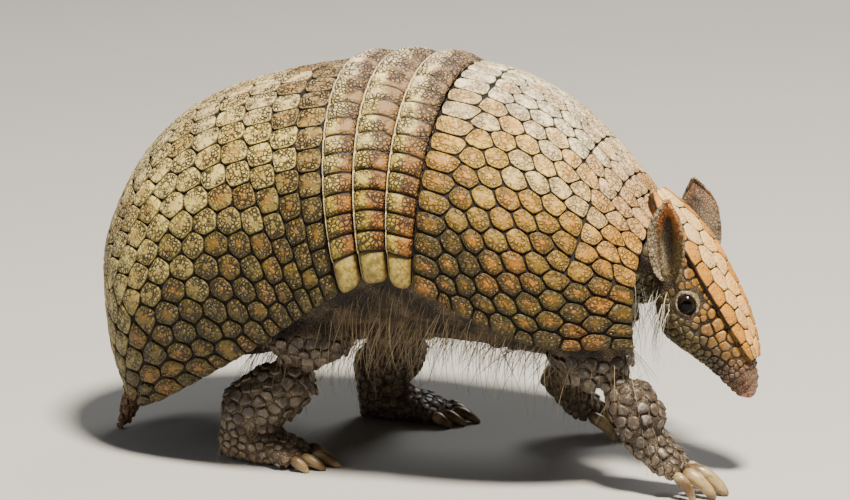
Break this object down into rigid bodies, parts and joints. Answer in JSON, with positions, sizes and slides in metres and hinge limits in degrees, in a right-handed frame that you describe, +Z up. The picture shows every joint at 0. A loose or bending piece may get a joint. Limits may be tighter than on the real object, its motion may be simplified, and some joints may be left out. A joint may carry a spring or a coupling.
{
  "type": "three-banded armadillo",
  "caption": "Life-size still model of a three-banded armadillo, walking with its nose low, in armour of horny plates.",
  "frame": {"origin": "on the floor under the middle of the animal's length and width", "axes": "+X towards the head, +Y to the animal's left, +Z up"},
  "size_m": [0.2168, 0.122, 0.1296],
  "materials": {
    "carapace": "satin horny scutes",
    "bands": "satin horny scutes with smooth pale rear edges",
    "head_plates": "smooth satin plates",
    "skin": "matt scaly and hairy skin",
    "claws": "polished horn",
    "eyes": "wet black"
  },
  "bodies": {
    "root": {"pelvic_shield": "carapace", "band_1": "bands", "band_2": "bands", "band_3": "bands", "scapular_shield": "carapace", "head_shield": "head_plates", "trunk": "skin", "head": "skin", "eye_right": "eyes", "eye_left": "eyes", "ear_right": "skin", "ear_left": "skin", "neck": "skin", "tail": "skin", "fore_right_leg": "skin", "fore_right_foot": "skin", "fore_right_claw_1": "claws", "fore_right_claw_2": "claws", "fore_right_claw_3": "claws", "fore_right_claw_4": "claws", "fore_left_leg": "skin", "fore_left_foot": "skin", "fore_left_claw_1": "claws", "fore_left_claw_2": "claws", "fore_left_claw_3": "claws", "fore_left_claw_4": "claws", "hind_right_leg": "skin", "hind_right_foot": "skin", "hind_right_claw_1": "claws", "hind_right_claw_2": "claws", "hind_right_claw_3": "claws", "hind_right_claw_4": "claws", "hind_right_claw_5": "claws", "hind_left_leg": "skin", "hind_left_foot": "skin", "hind_left_claw_1": "claws", "hind_left_claw_2": "claws", "hind_left_claw_3": "claws", "hind_left_claw_4": "claws", "hind_left_claw_5": "claws"}
  },
  "joints": []
}
